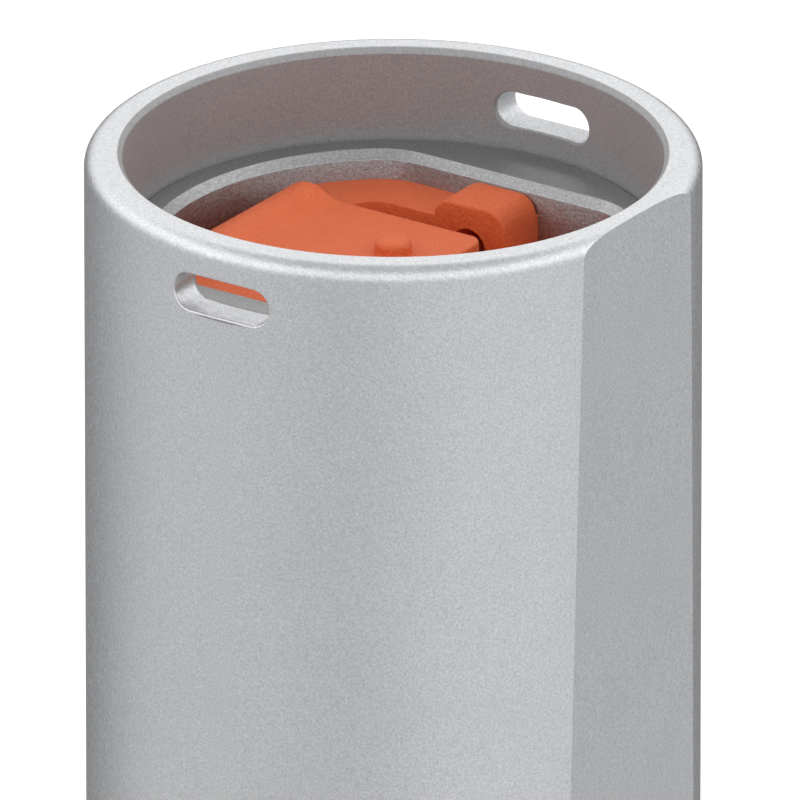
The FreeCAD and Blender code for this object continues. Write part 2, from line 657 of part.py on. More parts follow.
def collar_screws():
    length = COLLAR_SCREW_TOP_Z - COLLAR_SCREW_HEAD_HEIGHT - COLLAR_SCREW_TIP_Z
    screw = socket_screw(COLLAR_SCREW_HEAD, COLLAR_SCREW_HEAD_HEIGHT, COLLAR_SCREW_RADIUS, length,
                         COLLAR_SCREW_CIRCLE, 0, COLLAR_SCREW_TOP_Z)
    return quarter_turns(screw, 45)


def keepers(middle_z):
    """Two blocks welded inside the casing, each with a mouth for a lock bolt."""
    low = middle_z - KEEPER_HALF_HEIGHT
    high = middle_z + KEEPER_HALF_HEIGHT
    rear = block(-KEEPER_HALF_WIDTH, KEEPER_HALF_WIDTH, KEEPER_INNER_Y, CASING_BORE, low, high)
    rear = rear.common(cylinder(CASING_BORE, low, high))
    mouth = BOLT_HALF_WIDTH + KEEPER_MOUTH_SIDE_GAP
    rear = rear.cut(block(-mouth, mouth, KEEPER_INNER_Y - 1, KEEPER_MOUTH_DEPTH,
                          middle_z - KEEPER_MOUTH_HALF_HEIGHT, middle_z + KEEPER_MOUTH_HALF_HEIGHT))
    return [rear, turned(rear, 180)]


# Gas springs

def gas_cylinder(x):
    low, high = CYLINDER_Z
    body = cylinder(CYLINDER_RADIUS, low, high, x)
    body = body.cut(cylinder(CYLINDER_BORE, low + CYLINDER_END, high, x))
    tongue = block(x - TONGUE_HALF_WIDTH, x + TONGUE_HALF_WIDTH,
                   -TONGUE_HALF_THICKNESS, TONGUE_HALF_THICKNESS, CLEVIS_PIN_Z - TONGUE_FOOT, low)
    body = body.fuse(tongue).removeSplitter()
    return body.cut(bar_along_y(CLEVIS_PIN_RADIUS, x, CLEVIS_PIN_Z,
                                -TONGUE_HALF_THICKNESS, TONGUE_HALF_THICKNESS))


def gas_gland(x):
    high = CYLINDER_Z[1]
    low = high - GLAND_DEPTH
    top = high + GLAND_CAP
    plug = cylinder(CYLINDER_BORE, low, high, x)
    cap = cylinder(CYLINDER_RADIUS, high, top, x)
    return plug.fuse(cap).removeSplitter().cut(cylinder(ROD_RADIUS + ROD_RUNNING, low, top, x))


def spring_clevis(x):
    half_x, half_y = CLEVIS_FOOT_HALF
    foot = block(x - half_x, x + half_x, -half_y, half_y,
                 PLATE_THICKNESS, PLATE_THICKNESS + CLEVIS_FOOT_HEIGHT)
    ears = [block(x - CLEVIS_EAR_HALF_WIDTH, x + CLEVIS_EAR_HALF_WIDTH, low_y, high_y,
                  PLATE_THICKNESS, CLEVIS_PIN_Z + CLEVIS_EAR_TOP)
            for low_y, high_y in (CLEVIS_EAR_Y, (-CLEVIS_EAR_Y[1], -CLEVIS_EAR_Y[0]))]
    clevis = foot.multiFuse(ears).removeSplitter()
    return clevis.cut(bar_along_y(CLEVIS_PIN_RADIUS, x, CLEVIS_PIN_Z, -half_y, half_y))


def clevis_pin(x):
    low, high = CLEVIS_PIN_Y
    shank = bar_along_y(CLEVIS_PIN_RADIUS, x, CLEVIS_PIN_Z, low, high)
    head = bar_along_y(CLEVIS_PIN_HEAD_RADIUS, x, CLEVIS_PIN_Z, high, high + CLEVIS_PIN_HEAD)
    return shank.fuse(head).removeSplitter()


def gas_rod(x):
    tail = cylinder(ROD_TAIL_RADIUS, PISTON_Z[0], PISTON_Z[1], x)
    rod = cylinder(ROD_RADIUS, PISTON_Z[1], ROD_TOP_Z, x)
    return rod.fuse(tail).removeSplitter()


def gas_piston(x):
    return ring(CYLINDER_BORE - PISTON_RUNNING, ROD_TAIL_RADIUS, PISTON_Z[0], PISTON_Z[1], x)


def gas_crosshead():
    """The plate that the gas rods push on, welded inside the post below the head plate."""
    low, high = CROSSHEAD_Z
    plate = cylinder(HEAD_RADIUS, low, high)
    holes = [cylinder(ROD_RADIUS, low, high, side * SPRING_X) for side in SIDES]
    holes.append(cylinder(BUSH_SLEEVE_RADIUS, low, high))
    holes += quarter_turns(cylinder(CROSSHEAD_VENT_RADIUS, low, high, CROSSHEAD_VENT_CIRCLE), 45)
    return plate.cut(Part.makeCompound(holes))


def rod_nuts():
    nuts = []
    for side in SIDES:
        for low in (CROSSHEAD_Z[0] - ROD_NUT_HEIGHT, CROSSHEAD_Z[1]):
            high = low + ROD_NUT_HEIGHT
            nut = hexagon(ROD_NUT_FLATS, low, high, side * SPRING_X)
            nuts.append(nut.cut(cylinder(ROD_RADIUS, low, high, side * SPRING_X)))
    return nuts


# Lock drive

def shaft_guide():
    low, high = SHAFT_GUIDE_Z
    half = SHAFT_GUIDE_HALF_WIDTH
    plate = cylinder(HEAD_RADIUS, low, high).common(block(-half, half, -POST_BORE, POST_BORE, low, high))
    return plate.cut(cylinder(BUSH_SLEEVE_RADIUS, low, high))


def shaft_bush(z_range):
    low, high = z_range
    sleeve = ring(BUSH_SLEEVE_RADIUS, SHAFT_RUNNING, low, high)
    flange = ring(BUSH_FLANGE_RADIUS, SHAFT_RUNNING, high, high + BUSH_FLANGE)
    return sleeve.fuse(flange).removeSplitter()


def lock_shaft():
    """The long shaft; it has a flat in the cam disc and a pilot at its foot."""
    shaft = cylinder(SHAFT_RADIUS, LATCH_COVER_TOP, SHAFT_TOP_Z)
    cam_seat = d_cylinder(SHAFT_RADIUS, SHAFT_FLAT, CAM_Z[0], CAM_Z[1])
    neck = cylinder(SHAFT_RADIUS, CAM_Z[1], LATCH_COVER_TOP)
    pilot = cylinder(SHAFT_PILOT, SHAFT_FOOT_Z, CAM_Z[0])
    return shaft.multiFuse([cam_seat, neck, pilot]).removeSplitter()


def key_head():
    """The hexagon under the flap that the key turns."""
    head = hexagon(KEY_FLATS, KEY_FOOT_Z, KEY_TOP_Z)
    return head.cut(cylinder(SHAFT_RADIUS, KEY_FOOT_Z, SHAFT_TOP_Z))


def cam_slot():
    """A slot on an Archimedean spiral, which draws a follower out by its stroke in 90 degrees."""
    half_width = FOLLOWER_RADIUS + CAM_SLOT_RUNNING
    spread = math.radians(1.0)
    pitch = BOLT_STROKE / (math.pi / 2)
    count = 13
    angles = [-spread + (math.pi / 2 + 2 * spread) * k / (count - 1) for k in range(count)]
    sides = {-1: [], 1: []}
    for turn in angles:
        radius = CAM_START_RADIUS + pitch * turn
        around = math.pi / 2 - turn
        outward = V(math.cos(around), math.sin(around), 0)
        along = outward * pitch + V(math.sin(around), -math.cos(around), 0) * radius
        along.normalize()
        normal = V(-along.y, along.x, 0)
        for side in SIDES:
            sides[side].append(outward * radius + normal * (side * half_width) + V(0, 0, CAM_Z[0]))
        if turn == angles[0]:
            start_cap = outward * radius - along * half_width + V(0, 0, CAM_Z[0])
        end_cap = outward * radius + along * half_width + V(0, 0, CAM_Z[0])
    curves = {}
    for side in SIDES:
        curves[side] = Part.BSplineCurve()
        curves[side].interpolate(sides[side])
    edges = [curves[1].toShape(),
             Part.Arc(sides[1][-1], end_cap, sides[-1][-1]).toShape(),
             curves[-1].toShape(),
             Part.Arc(sides[-1][0], start_cap, sides[1][0]).toShape()]
    face = Part.Face(Part.Wire(Part.__sortEdges__(edges)))
    return face.extrude(V(0, 0, CAM_Z[1] - CAM_Z[0]))


def cam_disc():
    slot = cam_slot()
    seat = d_cylinder(SHAFT_RADIUS, SHAFT_FLAT, *CAM_Z)
    return cylinder(CAM_RADIUS, *CAM_Z).cut(Part.makeCompound([slot, turned(slot, 180), seat]))


# Latch unit inside the foot of the post

def latch_cap_screw_places():
    x, y = LATCH_CAP_SCREW_XY
    return [(side_x * x, side_y * y) for side_x in SIDES for side_y in SIDES]


def latch_body():
    low, high = LATCH_Z
    body = cylinder(HEAD_RADIUS, low, high)
    body = body.common(block(-LATCH_HALF_WIDTH, LATCH_HALF_WIDTH, -POST_BORE, POST_BORE, low, high))
    tunnel = BOLT_HALF_WIDTH + BOLT_RUNNING
    cuts = [block(-tunnel, tunnel, -POST_BORE, POST_BORE, BOLT_Z[0] - BOLT_RUNNING, BOLT_Z[1] + BOLT_RUNNING),
            cylinder(CAM_RADIUS + CAM_CLEARANCE, BOLT_Z[1], high),
            cylinder(SHAFT_PILOT + PIN_RUNNING, low, BOLT_Z[0])]
    cap_foot = LATCH_COVER_TOP - LATCH_CAP_SCREW_LENGTH
    cuts += [cylinder(LATCH_CAP_SCREW_RADIUS, cap_foot, high, x, y) for x, y in latch_cap_screw_places()]
    cuts += [radial_bar(LATCH_SCREW_RADIUS, angle, LATCH_SCREW_Z, LATCH_SCREW_TIP, POST_BORE)
             for angle in latch_screw_angles()]
    return body.cut(Part.makeCompound(cuts))


def latch_cover():
    low = LATCH_Z[1]
    cover = cylinder(HEAD_RADIUS, low, LATCH_COVER_TOP)
    cover = cover.common(block(-LATCH_HALF_WIDTH, LATCH_HALF_WIDTH, -POST_BORE, POST_BORE,
                               low, LATCH_COVER_TOP))
    holes = [cylinder(SHAFT_RUNNING, low, LATCH_COVER_TOP)]
    holes += [cylinder(LATCH_CAP_SCREW_RADIUS, low, LATCH_COVER_TOP, x, y)
              for x, y in latch_cap_screw_places()]
    return cover.cut(Part.makeCompound(holes))


def latch_cap_screws():
    top = LATCH_COVER_TOP + LATCH_CAP_SCREW_HEAD_HEIGHT
    return [socket_screw(LATCH_CAP_SCREW_HEAD, LATCH_CAP_SCREW_HEAD_HEIGHT, LATCH_CAP_SCREW_RADIUS,
                         LATCH_CAP_SCREW_LENGTH, x, y, top) for x, y in latch_cap_screw_places()]


def latch_side_screws():
    return [radial_bar(LATCH_SCREW_RADIUS, angle, LATCH_SCREW_Z, LATCH_SCREW_TIP, POST_RADIUS - 0.3)
            for angle in latch_screw_angles()]


def latch_bolt(side):
    half = BOLT_HALF_WIDTH
    bolt = block(-half, half, BOLT_INNER_Y, BOLT_OUTER_Y, *BOLT_Z)
    nose = [edge for edge in bolt.Edges if edge.BoundBox.YMin > BOLT_OUTER_Y - 0.01]
    bolt = bolt.makeChamfer(BOLT_NOSE, nose)
    bolt = bolt.cut(cylinder(FOLLOWER_RADIUS, FOLLOWER_FOOT_Z, BOLT_Z[1], 0, CAM_START_RADIUS))
    return bolt if side > 0 else turned(bolt, 180)


def follower_pin(side):
    return cylinder(FOLLOWER_RADIUS, FOLLOWER_FOOT_Z, CAM_Z[1], 0, side * CAM_START_RADIUS)


os.makedirs("parts", exist_ok=True)

# Casing, fixed in the ground
save("base_plate", base_plate())
save("drain_grate", drain_grate())
save("casing_tube", ring(CASING_RADIUS, CASING_BORE, PLATE_THICKNESS, FRAME_Z))
save("casing_gussets", *quarter_turns(gusset()))
save("anchor_bars", *quarter_turns(anchor_bar()))
save("ground_frame", ground_frame())
save("collar_insert", collar_insert())
save("collar_screws", *collar_screws())
save("wiper_seal", guide_ring(WIPER_GAP, (FRAME_Z, COLLAR_Z), FRAME_BORE))
save("guide_bush", guide_ring(BUSH_GAP, BUSH_Z, RING_RADIUS))
save("stop_buffer", ring(RING_RADIUS, POST_RADIUS + STOP_BUFFER_GAP, *STOP_BUFFER_Z))
save("bottom_buffer", ring(*BOTTOM_BUFFER_RADII, PLATE_THICKNESS, BOTTOM_BUFFER_TOP))
save("keeper_upper", *keepers(BOLT_MIDDLE_Z))
save("keeper_lower", *keepers(BOLT_MIDDLE_Z - TRAVEL))
save("gas_cylinder_left", gas_cylinder(-SPRING_X))
save("gas_cylinder_right", gas_cylinder(SPRING_X))
save("gas_glands", gas_gland(-SPRING_X), gas_gland(SPRING_X))
save("spring_clevises", spring_clevis(-SPRING_X), spring_clevis(SPRING_X))
save("clevis_pins", clevis_pin(-SPRING_X), clevis_pin(SPRING_X))

# Post and what is fixed to it
save("post_tube", post_tube())
save("head_plate", head_plate())
save("tray_floor", tray_floor())
save("lock_tray", lock_tray())
save("tray_screws", *tray_screws())
save("hinge_pin", bar_along_y(HINGE_PIN_RADIUS, HINGE_X, HINGE_Z, -HINGE_PIN_HALF, HINGE_PIN_HALF))
save("guide_shoe_upper", guide_shoe(SHOE_UPPER_Z))
save("guide_shoe_lower", guide_shoe(SHOE_LOWER_Z))
save("shoe_screws", *shoe_screws())
save("gas_crosshead", gas_crosshead())
save("gas_rod_left", gas_rod(-SPRING_X))
save("gas_rod_right", gas_rod(SPRING_X))
save("gas_pistons", gas_piston(-SPRING_X), gas_piston(SPRING_X))
save("rod_nuts", *rod_nuts())
save("shaft_guide", shaft_guide())
save("shaft_bushes", shaft_bush(SHAFT_GUIDE_Z), shaft_bush(CROSSHEAD_Z))
save("latch_body", latch_body())
save("latch_cover", latch_cover())
save("latch_cap_screws", *latch_cap_screws())
save("latch_side_screws", *latch_side_screws())

# Lock flap
save("lock_flap", lock_flap())
save("flap_stud", flap_stud())

# Lock drive
save("lock_shaft", lock_shaft())
save("key_head", key_head())
save("cam_disc", cam_disc())
save("shaft_collar", ring(SHAFT_COLLAR_RADIUS, SHAFT_RADIUS, *SHAFT_COLLAR_Z))

# Lock bolts
save("latch_bolt_front", latch_bolt(-1))
save("latch_bolt_rear", latch_bolt(1))
save("follower_pin_front", follower_pin(-1))
save("follower_pin_rear", follower_pin(1))
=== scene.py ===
import bmesh
import bpy
import json
import math
from mathutils import Matrix, Vector

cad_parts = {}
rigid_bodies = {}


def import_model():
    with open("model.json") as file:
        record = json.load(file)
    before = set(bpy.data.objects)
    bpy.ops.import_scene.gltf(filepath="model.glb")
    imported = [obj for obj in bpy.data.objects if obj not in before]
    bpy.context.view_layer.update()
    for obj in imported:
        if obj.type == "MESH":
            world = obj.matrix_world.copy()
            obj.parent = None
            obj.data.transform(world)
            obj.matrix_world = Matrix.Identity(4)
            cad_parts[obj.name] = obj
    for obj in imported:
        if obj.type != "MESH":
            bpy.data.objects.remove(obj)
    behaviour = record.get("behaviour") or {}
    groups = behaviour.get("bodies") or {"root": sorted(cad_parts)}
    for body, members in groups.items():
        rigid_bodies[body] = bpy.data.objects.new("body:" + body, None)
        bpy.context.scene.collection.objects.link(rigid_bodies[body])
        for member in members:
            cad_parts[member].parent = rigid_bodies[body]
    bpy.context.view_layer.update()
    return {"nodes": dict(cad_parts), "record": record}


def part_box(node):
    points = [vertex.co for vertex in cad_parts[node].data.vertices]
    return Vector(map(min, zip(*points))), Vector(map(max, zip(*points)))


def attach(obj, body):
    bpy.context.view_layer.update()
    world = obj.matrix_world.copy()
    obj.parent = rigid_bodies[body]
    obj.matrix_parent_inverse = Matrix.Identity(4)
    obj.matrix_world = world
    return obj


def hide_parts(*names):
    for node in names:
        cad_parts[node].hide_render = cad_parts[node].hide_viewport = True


# A retractable bollard, seen close up at the top of its raised post.
# Everything is in metres in the CAD frame; +X is the way the post's flat faces.

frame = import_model()

MM = 0.001
SIDES = (-1, 1)

# Places read from the frame
RIM_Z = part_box("post_tube")[1].z
POST_FOOT_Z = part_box("post_tube")[0].z
POST_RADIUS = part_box("post_tube")[1].y
HEAD_TOP_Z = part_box("head_plate")[1].z
CUP_BOTTOM_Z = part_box("head_plate")[0].z
CUP_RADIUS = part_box("head_plate")[1].x
TRAY_BOTTOM_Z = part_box("tray_floor")[0].z
FLAP_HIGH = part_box("lock_flap")[1]
STUD_LOW, STUD_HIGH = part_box("flap_stud")
FRAME_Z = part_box("ground_frame")[0].z
CASING_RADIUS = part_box("casing_tube")[1].x
PLATE_TOP_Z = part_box("base_plate")[1].z
BOLT_LOW, BOLT_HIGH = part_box("latch_bolt_rear")
LATCH_SCREW_LOW_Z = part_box("latch_side_screws")[0].z

# Post tube
WALL = 7.1 * MM
BORE = POST_RADIUS - WALL
RIM_ROUNDING = 3.0 * MM
RIM_CHAMFER = 1.0 * MM
FLAT_AT_RIM = 54.39 * MM
FLAT_BELOW = 53.15 * MM
FLAT_TAPER_LENGTH = 140 * MM
SLOT_HALF = 10.5 * MM
SLOT_END_RADIUS = 3.6 * MM
SLOT_Z = RIM_Z - 10.3 * MM
SLOT_EDGE = 0.4 * MM
BOLT_WINDOW_GAP = 1 * MM
LATCH_SCREW_ANGLES = (72.5, 107.5, 252.5, 287.5)
LATCH_SCREW_RADIUS = 2.5 * MM
LATCH_SCREW_HOLE = 2.55 * MM
CUT_MARGIN = 1 * MM
TUBE_SEGMENTS = 360
TUBE_SMOOTH_ANGLE = 13.0

# Head plate, its pocket and its holes
CUP_EDGE = 0.4 * MM
CUP_FOOT_INSET = 12 * MM
POCKET_OVERLAP = 0.05 * MM
SHAFT_HOLE = 5.4 * MM
DRAIN_HOLE = 2.5 * MM
DRAIN_X = 20 * MM
BEVEL = 1.6 * MM
POCKET_RADIUS = 44.0 * MM
POCKET_REAR = 37.1 * MM
POCKET_FRONT = 35.6 * MM
POCKET_CORNER = 12.4 * MM
EDGE_SOFTNESS = 0.12 * MM

# Lock tray
TRAY_EDGE = 0.6 * MM

# Lock flap and its stud
BARREL_RADIUS = 6.0 * MM
BLEND_RADIUS = 8.2 * MM
HINGE_X = -28.9 * MM
HINGE_Z = RIM_Z - 26.8 * MM
HUMP_Z = RIM_Z - 24.0 * MM
FLAP_TOP_Z = RIM_Z - 20.3 * MM
FLAP_BOTTOM_Z = RIM_Z - 24.2 * MM
FLAP_CORNER = 3.5 * MM
FLAP_EDGE = 0.6 * MM
FLAP_EDGE_SPARE = 0.05 * MM
HINGE_PIN_HOLE = 1.55 * MM
STUD_SHANK = 2.0 * MM
STUD_CORNER = 1.3 * MM
STUD_CROWN = 0.25 * MM
STUD_EDGE = 0.2 * MM
STUD_SINK = 0.05 * MM

# Welds on the casing
WELD_SIZE = 2.6 * MM
SMALL_WELD_SIZE = 2 * MM
WELD_STEP = 2.5 * MM
WELD_SIDES = 8
WELD_SMOOTH_ANGLE = 60.0
TUBE_WELD_POINTS = 200
TUBE_WELD_GAP = 0.5 * MM
BAR_WELD_GAP = 0.3 * MM
GUSSET_WELD_Y = 4.3 * MM
ANCHOR_BAR_HALF = 15 * MM
ANCHOR_BAR_THICKNESS = 8 * MM

# Finish of the tube's bore and slots against its outside: painted shade that darkens their colour, and a
# duller, rougher surface
BORE_PAINTED_SHADE = 0.55
BORE_ROUGHNESS = 0.60
BORE_METALLIC = 0.55
SLOT_SHADE_AND_DULLNESS = 0.2

# Light from the world: its level by direction
SKY_LEVEL = 1.18
OVERHEAD_LEVEL = 0.58
SIDE_GLOW = 0.2
GROUND_LEVEL = 0.59
GROUND_FALL_POWER = 0.56
RIGHT_GLOW = 0.19
LEFT_GLOW = 0.07

# Camera: its bearing, height and distance from the rim's centre
VIEW_AZIMUTH = math.radians(34.2)
VIEW_ELEVATION = math.asin(0.3872)
VIEW_DISTANCE = 6.565
VIEW_LENS = 1600.0
VIEW_SENSOR = 36.0
VIEW_RIGHT_OF_RIM = 1.24 * MM
VIEW_BELOW_RIM = 46.03 * MM
FRONT = Vector((math.sin(VIEW_AZIMUTH), -math.cos(VIEW_AZIMUTH), 0))
RIGHT = Vector((math.cos(VIEW_AZIMUTH), math.sin(VIEW_AZIMUTH), 0))


# Node helpers

def add(tree, kind, values=None, **properties):
    """Adds a node. values gives its inputs, each a number, a colour or another node's output."""
    node = tree.nodes.new(kind)
    for key, value in properties.items():
        setattr(node, key, value)
    for key, value in (values or {}).items():
        if isinstance(value, bpy.types.NodeSocket):
            tree.links.new(value, node.inputs[key])
        else:
            node.inputs[key].default_value = value
    return node


def colour(red, green, blue):
    return (red, green, blue, 1.0)


def mixed(tree, factor, first, second):
    node = add(tree, "ShaderNodeMix", {0: factor, 6: first, 7: second}, data_type="RGBA")
    return node.outputs[2]


def scaled(tree, value, low, high, from_low=0.0, from_high=1.0):
    inputs = {"Value": value, "From Min": from_low, "From Max": from_high, "To Min": low, "To Max": high}
    return add(tree, "ShaderNodeMapRange", inputs).outputs[0]


def object_place(tree):
    return add(tree, "ShaderNodeTexCoord").outputs["Object"]


def axis_distance(tree, place):
    """How far a place is from the post's axis."""
    flat = add(tree, "ShaderNodeVectorMath", {0: place, 1: (1, 1, 0)}, operation="MULTIPLY").outputs[0]
    return add(tree, "ShaderNodeVectorMath", {0: flat}, operation="LENGTH").outputs["Value"]


def calculated(tree, operation, first, second=0.0):
    return add(tree, "ShaderNodeMath", {0: first, 1: second}, operation=operation).outputs[0]


def noise(tree, size, detail=2.0, vector=None):
    """Noise whose features are about size across."""
    place = vector or object_place(tree)
    inputs = {"Vector": place, "Scale": 1 / size, "Detail": detail, "Roughness": 0.6}
    return add(tree, "ShaderNodeTexNoise", inputs).outputs[0]


def bumped(tree, height, depth, strength=1.0, under=None):
    inputs = {"Height": height, "Distance": depth, "Strength": strength}
    if under is not None:
        inputs["Normal"] = under
    return add(tree, "ShaderNodeBump", inputs).outputs[0]


def new_material(name, metallic):
    material = bpy.data.materials.new(name)
    material.use_nodes = True
    tree = material.node_tree
    shader = tree.nodes["Principled BSDF"]
    shader.inputs["Metallic"].default_value = metallic
    return material, tree, shader


def connect(tree, shader, base, roughness, normal=None):
    for socket, value in (("Base Color", base), ("Roughness", roughness), ("Normal", normal)):
        if value is not None:
            tree.links.new(value, shader.inputs[socket])


# Materials

def bore_shade_and_finish_mask(tree):
    """Where the tube's bore and lifting slots get painted shade and a duller, rougher finish: 1 in the
    bore, the slot level in the slots, and 0 on the outside and rim.
    """
    place = object_place(tree)
    radius = axis_distance(tree, place)
    axes = add(tree, "ShaderNodeSeparateXYZ", {0: place}).outputs
    aside = calculated(tree, "ABSOLUTE", axes[0])
    edge = BORE + RIM_CHAMFER
    bore = scaled(tree, radius, 1.0, 0.0, edge - 0.15 * MM, edge)
    slot = scaled(tree, radius, SLOT_SHADE_AND_DULLNESS, 0.0, POST_RADIUS - 1.2 * MM, POST_RADIUS - 0.3 * MM)
    slot_top = SLOT_Z + SLOT_END_RADIUS
    for value, start in ((aside, SLOT_HALF + SLOT_EDGE), (axes[2], slot_top + SLOT_EDGE)):
        near = scaled(tree, value, 1.0, 0.0, start, start + 0.3 * MM)
        slot = calculated(tree, "MULTIPLY", slot, near)
    return calculated(tree, "MAXIMUM", bore, slot)


def blasted_aluminium(name, dark, light, rough, grain_depth, shaded_hollows):
    """Bead-blasted aluminium with a fine grain. If it is hollow, its bore and slots are darkened with
    painted shade and made duller and rougher.
    """
    material, tree, shader = new_material(name, 1.0)
    grain = noise(tree, 0.42 * MM, 3.0)
    speck = noise(tree, 0.9 * MM, 1.0)
    cloud = noise(tree, 18 * MM, 2.0)
    tone = mixed(tree, scaled(tree, grain, 0, 1, 0.3, 0.7), colour(*dark), colour(*light))
    tone = mixed(tree, scaled(tree, cloud, 0.0, 0.10, 0.3, 0.7), tone, colour(*[c * 0.86 for c in dark]))
    roughness = scaled(tree, speck, rough - 0.06, rough + 0.06, 0.3, 0.7)
    if shaded_hollows:
        # Painted shade: the colour is scaled darker in the bore and, less, in the slots, along with a
        # real duller, rougher finish there
        mask = bore_shade_and_finish_mask(tree)
        bore_painted_shade = scaled(tree, mask, 1.0, BORE_PAINTED_SHADE)
        tone = add(tree, "ShaderNodeVectorMath", {0: tone, "Scale": bore_painted_shade}, operation="SCALE").outputs[0]
        rougher = scaled(tree, mask, 0.0, BORE_ROUGHNESS - rough)
        roughness = calculated(tree, "ADD", roughness, rougher)
        tree.links.new(scaled(tree, mask, 1.0, BORE_METALLIC), shader.inputs["Metallic"])
    coarse = bumped(tree, speck, grain_depth * 1.5)
    connect(tree, shader, tone, roughness, bumped(tree, grain, grain_depth, under=coarse))
    return material


def orange_coat():
    """Powder coat over a casting: a soft orange peel with a fine tooth."""
    material, tree, shader = new_material("orange_coat", 0.0)
    shader.inputs["Specular IOR Level"].default_value = 0.35
    peel = noise(tree, 1.5 * MM, 2.0)
    tooth = noise(tree, 0.45 * MM, 2.0)
    cloud = noise(tree, 9 * MM, 2.0)
    deep, pale = colour(0.78, 0.138, 0.042), colour(0.90, 0.192, 0.064)
    tone = mixed(tree, scaled(tree, tooth, 0, 1, 0.3, 0.7), deep, pale)
    tone = mixed(tree, scaled(tree, cloud, 0.0, 0.3, 0.35, 0.65), tone, colour(0.76, 0.130, 0.040))
    roughness = scaled(tree, tooth, 0.42, 0.58, 0.3, 0.7)
    soft = bumped(tree, peel, 0.32 * MM, 0.8)
    connect(tree, shader, tone, roughness, bumped(tree, tooth, 0.22 * MM, 0.9, soft))
    return material


def galvanised_steel():
    """Hot-dip zinc: spangles of slightly different grey and gloss over a faint sag."""
    material, tree, shader = new_material("galvanised_steel", 1.0)
    place = object_place(tree)
    warp = add(tree, "ShaderNodeTexNoise", {"Vector": place, "Scale": 90.0, "Detail": 2.0}).outputs[1]
    bent = add(tree, "ShaderNodeMix", {0: 0.006, 4: place, 5: warp}, data_type="VECTOR").outputs[1]
    spangle = add(tree, "ShaderNodeTexVoronoi", {"Vector": bent, "Scale": 110.0})
    shade = add(tree, "ShaderNodeSeparateColor", {0: spangle.outputs["Color"]}).outputs[0]
    tone = mixed(tree, shade, colour(0.40, 0.42, 0.44), colour(0.58, 0.60, 0.62))
    streak = noise(tree, 60 * MM, 4.0)
    tone = mixed(tree, scaled(tree, streak, 0.0, 0.45, 0.42, 0.68), tone, colour(0.33, 0.34, 0.34))
    roughness = scaled(tree, shade, 0.34, 0.52)
    sag = bumped(tree, noise(tree, 14 * MM, 1.0), 0.25 * MM, 0.5)
    connect(tree, shader, tone, roughness, bumped(tree, noise(tree, 0.8 * MM), 0.03 * MM, 0.6, sag))
    return material


def cast_iron_coating():
    """Sand-cast iron under a dark dip coat, worn lighter on its high spots."""
    material, tree, shader = new_material("cast_iron_coating", 0.35)
    sand = noise(tree, 1.6 * MM, 4.0)
    wear = noise(tree, 35 * MM, 5.0)
    deep, pale = colour(0.040, 0.042, 0.045), colour(0.085, 0.087, 0.090)
    tone = mixed(tree, scaled(tree, sand, 0, 1, 0.3, 0.7), deep, pale)
    tone = mixed(tree, scaled(tree, wear, 0.0, 0.5, 0.5, 0.72), tone, colour(0.17, 0.165, 0.16))
    roughness = scaled(tree, wear, 0.48, 0.70, 0.3, 0.7)
    connect(tree, shader, tone, roughness, bumped(tree, sand, 0.25 * MM, 0.7))
    return material


def turned_steel(name, light, rough):
    """Lathe-turned steel: fine rings about the post's axis."""
    material, tree, shader = new_material(name, 1.0)
    radius = axis_distance(tree, object_place(tree))
    along = add(tree, "ShaderNodeCombineXYZ", {0: radius}).outputs[0]
    rings = noise(tree, 0.5 * MM, 2.0, along)
    smear = noise(tree, 8 * MM, 3.0)
    dark = [c * 0.78 for c in light]
    tone = mixed(tree, scaled(tree, rings, 0, 1, 0.3, 0.7), colour(*dark), colour(*light))
    roughness = scaled(tree, smear, rough - 0.08, rough + 0.10, 0.3, 0.7)
    connect(tree, shader, tone, roughness, bumped(tree, rings, 0.03 * MM, 0.5))
    return material


def zinc_fastener():
    material, tree, shader = new_material("zinc_fastener", 1.0)
    mottle = noise(tree, 2.5 * MM, 3.0)
    tone = mixed(tree, mottle, colour(0.50, 0.51, 0.50), colour(0.72, 0.73, 0.74))
    scratch = bumped(tree, noise(tree, 0.3 * MM), 0.015 * MM, 0.6)
    connect(tree, shader, tone, scaled(tree, mottle, 0.24, 0.42, 0.3, 0.7), scratch)
    return material


def moulded(name, dark, light, rough, grain):
    """Rubber or plastic from a mould, with a fine texture and a little dust."""
    material, tree, shader = new_material(name, 0.0)
    shader.inputs["Specular IOR Level"].default_value = 0.4
    texture = noise(tree, grain, 3.0)
    dust = noise(tree, 12 * MM, 4.0)
    tone = mixed(tree, scaled(tree, dust, 0, 1, 0.35, 0.75), colour(*dark), colour(*light))
    roughness = scaled(tree, dust, rough - 0.08, rough + 0.08, 0.3, 0.7)
    connect(tree, shader, tone, roughness, bumped(tree, texture, grain * 0.08, 0.6))
    return material


def chrome_rod():
    material, tree, shader = new_material("chrome_rod", 1.0)
    film = noise(tree, 6 * MM, 3.0)
    tone = mixed(tree, film, colour(0.70, 0.70, 0.72), colour(0.80, 0.80, 0.81))
    connect(tree, shader, tone, scaled(tree, film, 0.07, 0.16, 0.3, 0.7))
    return material


def machined_steel():
    """Milled steel under a film of oil."""
    material, tree, shader = new_material("machined_steel", 1.0)
    stretch = {0: object_place(tree), 1: (1.0, 0.06, 1.0)}
    stretched = add(tree, "ShaderNodeVectorMath", stretch, operation="MULTIPLY").outputs[0]
    lay = noise(tree, 0.5 * MM, 3.0, stretched)
    film = noise(tree, 10 * MM, 3.0)
    tone = mixed(tree, film, colour(0.36, 0.36, 0.37), colour(0.52, 0.52, 0.53))
    roughness = scaled(tree, lay, 0.25, 0.42, 0.3, 0.7)
    connect(tree, shader, tone, roughness, bumped(tree, lay, 0.02 * MM, 0.5))
    return material


def weld_metal():
    material, tree, shader = new_material("weld_metal", 1.0)
    ripple = noise(tree, 2.2 * MM, 2.0)
    tone = mixed(tree, ripple, colour(0.34, 0.35, 0.36), colour(0.54, 0.55, 0.56))
    roughness = scaled(tree, ripple, 0.38, 0.55, 0.3, 0.7)
    connect(tree, shader, tone, roughness, bumped(tree, ripple, 0.35 * MM, 0.8))
    return material


